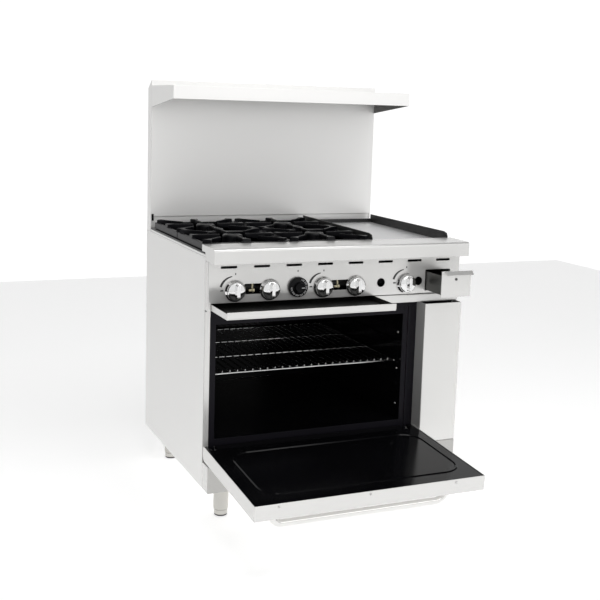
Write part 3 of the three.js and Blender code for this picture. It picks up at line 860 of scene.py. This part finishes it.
pick(lining, "FACE", inside_bead)
for rise in (bead_rise, 0, -bead_rise):
    bpy.ops.mesh.inset(thickness=bead_width / 3)
    bpy.ops.transform.translate(value=(0, rise, 0))
alone(lining)
soften(lining, 0.0012)
joined([lining, rib])
slot_half = 0.012
slot_top = 0.251
for number, x in enumerate((-0.430, 0.276)):
    arm_slot = block(
        f"arm_slot_{number}", (x - slot_half, lining_low.y - 0.01, lining_low.z - 0.01),
        (x + slot_half, lining_high.y + 0.01, slot_top),
    )
    cut_away(lining, "slotted", arm_slot)
hang(lining)
fit(lining, black_enamel, "black_enamel", "oven_door", "door_inner_panel")

bar_z = 0.609
bar_out = door_edge - 0.110
door_face = door_edge - 0.060
bar_left = -0.376
bar_right = 0.222
bar_radius = 0.011
bar_bend = 0.039
bend_y = bar_out + bar_bend
bpy.ops.object.select_all(action="DESELECT")
bpy.ops.mesh.primitive_circle_add(
    vertices=20, radius=bar_radius, location=(bar_left, door_face, bar_z), rotation=(pi / 2, 0, 0)
)
bar = settle(bpy.context.object)
bar.name = "door_bar"
bpy.ops.object.mode_set(mode="EDIT")
bpy.ops.mesh.select_all(action="SELECT")
straight_runs = (
    (0, bend_y - door_face, 0), (bar_right - bar_left - 2 * bar_bend, 0, 0), (0, door_face - bend_y, 0),
)
bend_middles = ((bar_left + bar_bend, bend_y, bar_z), (bar_right - bar_bend, bend_y, bar_z))
for number, run in enumerate(straight_runs):
    bpy.ops.mesh.extrude_region_move(TRANSFORM_OT_translate={"value": run})
    if number < len(bend_middles):
        bpy.ops.mesh.spin(steps=10, angle=-pi / 2, center=bend_middles[number], axis=(0, 0, 1))
bpy.ops.mesh.select_all(action="SELECT")
bpy.ops.mesh.remove_doubles(threshold=0.0001)
bpy.ops.mesh.fill_holes(sides=40)
bpy.ops.mesh.normals_make_consistent(inside=False)
alone(bar)
bpy.ops.object.shade_smooth_by_angle(angle=radians(40))
hang(bar)
polished_bar = finish(
    "polished_bar", (0.74, 0.735, 0.72), (0.82, 0.815, 0.8), 1, (0.1, 0.18), (40, 900, 900), 0.000004
)
fit(bar, polished_bar, "brushed_stainless", "oven_door", "door_handle")
edge_spots = [hung @ Vector((x, door_edge - 0.0225, 0.6794)) for x in (-0.380, -0.088, 0.207)]
edge_way = hung.to_3x3() @ Vector((0, 0, 1))
screw_heads(
    "door_edge_screws", edge_spots, edge_way, 0.0038, bright_zinc, "pipe_steel", "oven_door"
)


# ---------------------------------------------------------------- oven rack
# A plated wire rack: thin wires lie along the oven's depth on four thicker cross wires, and
# each turns up at the front to stop a pan. A heavier wire frames the sides.
plated_wire = finish(
    "plated_wire", (0.62, 0.62, 0.62), (0.8, 0.8, 0.8), 1, (0.14, 0.24), (500, 500, 500), 0.00001
)
rack_low, rack_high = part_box("oven_rack")
rack_z = 0.4835


def straight_wire(name, start, end, radius, sides=10):
    """A drawn wire between two points, with its cut ends eased."""
    run = Vector(end) - Vector(start)
    ease = radius * 0.4
    outline = (
        (radius - ease, 0), (radius, ease), (radius, run.length - ease), (radius - ease, run.length),
    )
    return turned(name, outline, start, run.normalized(), sides)


frame_wire = 0.003
inner_wire = 0.0022
stop_wire = 0.0014
wires = []
cross_rows = (
    rack_low.y + frame_wire, rack_low.y + 0.213, rack_low.y + 0.42, rack_high.y - frame_wire,
)
for y in cross_rows:
    ends = ((rack_low.x, y, rack_z), (rack_high.x, y, rack_z))
    wires.append(straight_wire("cross_wire", *ends, frame_wire))
for x in (rack_low.x + frame_wire, rack_high.x - frame_wire):
    ends = ((x, rack_low.y, rack_z), (x, rack_high.y, rack_z))
    wires.append(straight_wire("side_wire", *ends, frame_wire))
inner_count = 24
inner_pitch = (rack_high.x - rack_low.x) / (inner_count + 1)
inner_x = rack_low.x + inner_pitch
inner_z = rack_z + 0.0035
stop_y = rack_low.y + 0.0035
inner = straight_wire(
    "inner_wire", (inner_x, rack_low.y + 0.004, inner_z), (inner_x, rack_high.y - 0.002, inner_z),
    inner_wire, 8,
)
stop = straight_wire(
    "stop_wire", (inner_x, stop_y, rack_z + 0.002), (inner_x, stop_y, rack_z + 0.0095), stop_wire, 8
)
joined([inner, stop])
shaped(
    inner, "across", "ARRAY", count=inner_count, use_relative_offset=False,
    use_constant_offset=True, constant_offset_displace=(inner_pitch, 0, 0),
)
rack = joined([inner] + wires)
rack.name = "rack_wires"
bpy.ops.object.shade_smooth_by_angle(angle=radians(50))
fit(rack, plated_wire, "chrome", "rack", "oven_rack")


# ---------------------------------------------------------------- crumb tray
# A long shallow drip tray of steel sheet that slides under the burners. Its front is folded up
# into a lip to pull by. Behind the lip it is painted near black: painted shade for the dark under the panel.
tray = sheet_from("crumb_tray", "tray_pan", 0.0007)
fit(tray, brushed_steel, "brushed_stainless", "tray", "crumb_tray")
tray_low, tray_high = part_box("crumb_tray")
tray_mouth = tray_low.z + 0.0015
# A near-black finish used as painted shade inside the tray.
tray_painted_shade = finish(
    "tray_painted_shade", (0.005, 0.005, 0.005), (0.014, 0.014, 0.013), 0, (0.5, 0.7), (120, 120, 120), 0.0001
)


def tray_shaded_faces(place, normal):
    """The faces behind the lip and between the two side walls, above the bottom, which get the painted
    shade.
    """
    beyond_lip = place.y > tray_low.y + 0.004 and place.z > tray_mouth
    return beyond_lip and tray_low.x + 0.001 < place.x < tray_high.x - 0.001


second_finish(tray, tray_painted_shade, tray_shaded_faces)
# A thin black sheet laid on the tray's floor as painted shade.
tray_shade_sheet = block(
    "tray_shade_sheet", (tray_low.x + 0.0023, tray_low.y + 0.0045, tray_low.z + 0.0021),
    (tray_high.x - 0.0023, tray_high.y - 0.0025, tray_low.z + 0.0024),
)
pick(tray_shade_sheet, "FACE", lambda place, normal: normal.z > 0.9)
bpy.ops.mesh.inset(thickness=0.0012)
alone(tray_shade_sheet)
soften(tray_shade_sheet, 0.00008, 1)
fit(tray_shade_sheet, tray_painted_shade, "black_enamel", "tray")


# ---------------------------------------------------------------- grease drawer
# A narrow box of brushed stainless that slides in at the right end of the panel, under the
# griddle's trough. Its front plate carries a rolled lip at the top and is held by a screw.
drawer = sheet_from("grease_drawer", "drawer_box", 0.0008)
fit(drawer, brushed_steel, "brushed_stainless", "drawer", "grease_drawer")
plate_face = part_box("grease_drawer")[0].y + 0.014
# A dark copy of the steel, used as painted shade on everything behind the front plate, which sits in the
# dark of the panel's opening.
drawer_painted_shade = finish(
    "drawer_painted_shade", (0.05, 0.05, 0.045), (0.1, 0.1, 0.095), 0.6, (0.3, 0.42), (16, 900, 900), 0.00001, 12
)
second_finish(drawer, drawer_painted_shade, lambda place, normal: place.y > plate_face + 0.004)
plate_screw = (0.3726, plate_face - 0.0012, 0.796)
screw_heads("drawer_screw", [plate_screw], (0, -1, 0), 0.0045, black_pipe, "pipe_steel", "drawer")


# ---------------------------------------------------------------- grates
# Each open burner has its own cast-iron grate: a square frame with eight fingers that reach in
# over the flame and stop short of the middle. Every edge is rounded by the sand mould.
frame_width = 0.013
frame_height = 0.022
mould_skin = 0.001
finger_half = 0.0045
side_tip = 0.045
corner_tip = 0.092
finger_drop = 0.026
flare = 0.011
grate_low, grate_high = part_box("grate_front_left")
grate_middle = Vector(((grate_low.x + grate_high.x) / 2, (grate_low.y + grate_high.y) / 2, 0))
half_x = (grate_high.x - grate_low.x) / 2
half_y = (grate_high.y - grate_low.y) / 2
casting = block(
    "grate_casting",
    (grate_low.x + mould_skin, grate_low.y + mould_skin, grate_low.z + mould_skin),
    (grate_high.x - mould_skin, grate_high.y - mould_skin, grate_low.z + frame_height),
)
pick(casting, "FACE", lambda place, normal: abs(normal.z) > 0.9)
bpy.ops.mesh.inset(thickness=frame_width)
bpy.ops.mesh.bridge_edge_loops()
alone(casting)
fingers = [casting]
for number in range(8):
    angle = number * pi / 4
    reach = half_x - 0.004 if number % 4 == 0 else half_y - 0.004
    hub = side_tip
    if number % 2:
        reach = (half_x ** 2 + half_y ** 2) ** 0.5 - 0.016
        hub = corner_tip
    finger = block(
        f"finger_{number}", (hub, -finger_half, grate_high.z - finger_drop),
        (reach, finger_half, grate_high.z),
    )
    pick(finger, "FACE", lambda place, normal: normal.x < -0.9)
    bpy.ops.transform.resize(value=(1, 0.7, 0.55), center_override=(hub, 0, grate_high.z - 0.001))
    pick(finger, "FACE", whole)
    bpy.ops.mesh.bisect(plane_co=(reach - 0.03, 0, 0), plane_no=(1, 0, 0))
    pick(finger, "FACE", lambda place, normal: normal.x > 0.9)
    bpy.ops.transform.resize(value=(1, 1 + flare / finger_half, 1), center_override=(reach, 0, 0))
    alone(finger)
    finger.matrix_world = Matrix.Translation(grate_middle) @ Matrix.Rotation(angle, 4, "Z")
    fingers.append(settle(finger))
joined(fingers)
shaped(casting, "mould", "REMESH", mode="VOXEL", voxel_size=0.0017)
shaped(casting, "worn", "SMOOTH", factor=0.5, iterations=3)
shaped(casting, "lean", "DECIMATE", ratio=0.45)
bpy.ops.object.shade_smooth()


def placed_twin(piece, name, offset):
    """A copy of a finished piece, moved by the offset."""
    copy = twin(piece, name)
    alone(copy)
    copy.location = offset
    return settle(copy)


grate_bodies = {
    "grate_a": "front_left", "grate_b": "rear_left", "grate_c": "front_right",
    "grate_d": "rear_right",
}
for body, place in grate_bodies.items():
    low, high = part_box("grate_" + place)
    grate = placed_twin(casting, "grate_casting_" + place, low - grate_low)
    fit(grate, cast_iron, "grate_iron", body, "grate_" + place)
bpy.data.objects.remove(casting)


# ---------------------------------------------------------------- control knobs
# Chromed die-cast knobs: a tapered skirt, a dished face and a tall bar to grip across it. They
# push onto the valve stems.
chrome = finish(
    "chrome", (0.8, 0.8, 0.8), (0.9, 0.9, 0.9), 1, (0.04, 0.09), (300, 300, 300), 0.000004
)
knob_outline = (
    (0.026, 0), (0.0335, 0.0003), (0.035, 0.0015), (0.035, 0.0035), (0.0337, 0.0055),
    (0.0303, 0.0095), (0.0298, 0.0112), (0.0303, 0.0138), (0.0300, 0.0165), (0.0286, 0.0187),
    (0.0262, 0.0201), (0.0200, 0.0214), (0.0120, 0.0221), (0.004, 0.0223),
)
knob_bodies = {
    "knob_a": "knob_front_left", "knob_b": "knob_rear_left", "knob_c": "knob_front_right",
    "knob_d": "knob_rear_right", "knob_e": "knob_griddle",
}
first_low, first_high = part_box("knob_front_left")
knob_x = (first_low.x + first_high.x) / 2
knob_z = (first_low.z + first_high.z) / 2
knob_back = panel_low.y - 0.0005
cap = turned("knob_cap", knob_outline, (knob_x, knob_back, knob_z), (0, -1, 0), 64)
soften(cap, 0.0004, 2, 50)
grip_half = 0.0078
grip_reach = 0.0268
grip = block(
    "knob_grip", (knob_x - grip_half, knob_back - 0.037, knob_z - grip_reach),
    (knob_x + grip_half, knob_back - 0.011, knob_z + grip_reach),
)
pick(grip, "FACE", lambda place, normal: normal.y < -0.9)
bpy.ops.transform.resize(value=(0.66, 1, 0.86), center_override=(knob_x, 0, knob_z))
pick(grip, "EDGE", lambda place, along: abs(along.y) > 0.02)
bpy.ops.mesh.bevel(offset=0.0052, segments=6)
alone(grip)
soften(grip, 0.0024, 5, 50)
joined([cap, grip])
for body, node in knob_bodies.items():
    low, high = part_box(node)
    knob = placed_twin(cap, node + "_chromed", low - first_low)
    fit(knob, chrome, "chrome", body, node)
bpy.data.objects.remove(cap)


# ---------------------------------------------------------------- oven dial
# The thermostat's dial is a black moulded disc with a raised hub to grip. Its degrees are
# printed in white round the skirt.
dial_plastic = finish(
    "dial_plastic", (0.0015, 0.0015, 0.002), (0.004, 0.004, 0.005), 0, (0.28, 0.4),
    (900, 900, 900), 0.00001, specular=0.15,
)
dial_ink = finish(
    "dial_ink", (0.6, 0.6, 0.6), (0.75, 0.75, 0.75), 0, (0.4, 0.5), (400, 400, 400), 0.00001
)
dial_low, dial_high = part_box("oven_dial")
dial_x = (dial_low.x + dial_high.x) / 2
dial_z = (dial_low.z + dial_high.z) / 2
dial_outline = (
    (0.027, 0), (0.0325, 0.0004), (0.033, 0.002), (0.033, 0.0095), (0.032, 0.0115), (0.0175, 0.0135),
    (0.017, 0.0235), (0.0162, 0.0252), (0.0145, 0.0258), (0.0125, 0.0252), (0.005, 0.0248),
)
dial = turned("dial_moulding", dial_outline, (dial_x, knob_back, dial_z), (0, -1, 0), 56)
soften(dial, 0.0004, 2, 50)
fit(dial, dial_plastic, "dial_black", "dial", "oven_dial")
degrees = ("150", "200", "250", "300", "350", "400", "450", "500")
first_turn = 62
turn_step = 33
figure_radius = 0.0258
figure_y = knob_back - 0.0127
numerals = []
for number, text in enumerate(degrees):
    angle = radians(first_turn - turn_step * number)
    bpy.ops.object.select_all(action="DESELECT")
    bpy.ops.object.text_add()
    figures = bpy.context.object
    figures.data.body = text
    figures.data.size = 0.0085
    figures.data.align_x = "CENTER"
    figures.data.align_y = "CENTER"
    figures.data.extrude = 0.0001
    figures.data.resolution_u = 2
    bpy.ops.object.convert(target="MESH")
    place = (dial_x + figure_radius * cos(angle), figure_y, dial_z + figure_radius * sin(angle))
    figures.matrix_world = (
        Matrix.Translation(place)
        @ Matrix.Rotation(pi / 2, 4, "X")
        @ Matrix.Rotation(angle - pi / 2, 4, "Z")
    )
    numerals.append(settle(figures))
pointer = block(
    "pointer", (dial_x + 0.004, knob_back - 0.0262, dial_z - 0.001),
    (dial_x + 0.0148, knob_back - 0.0256, dial_z + 0.001),
)
figures = joined(numerals + [pointer])
figures.name = "dial_figures"
fit(figures, dial_ink, "dial_black", "dial")
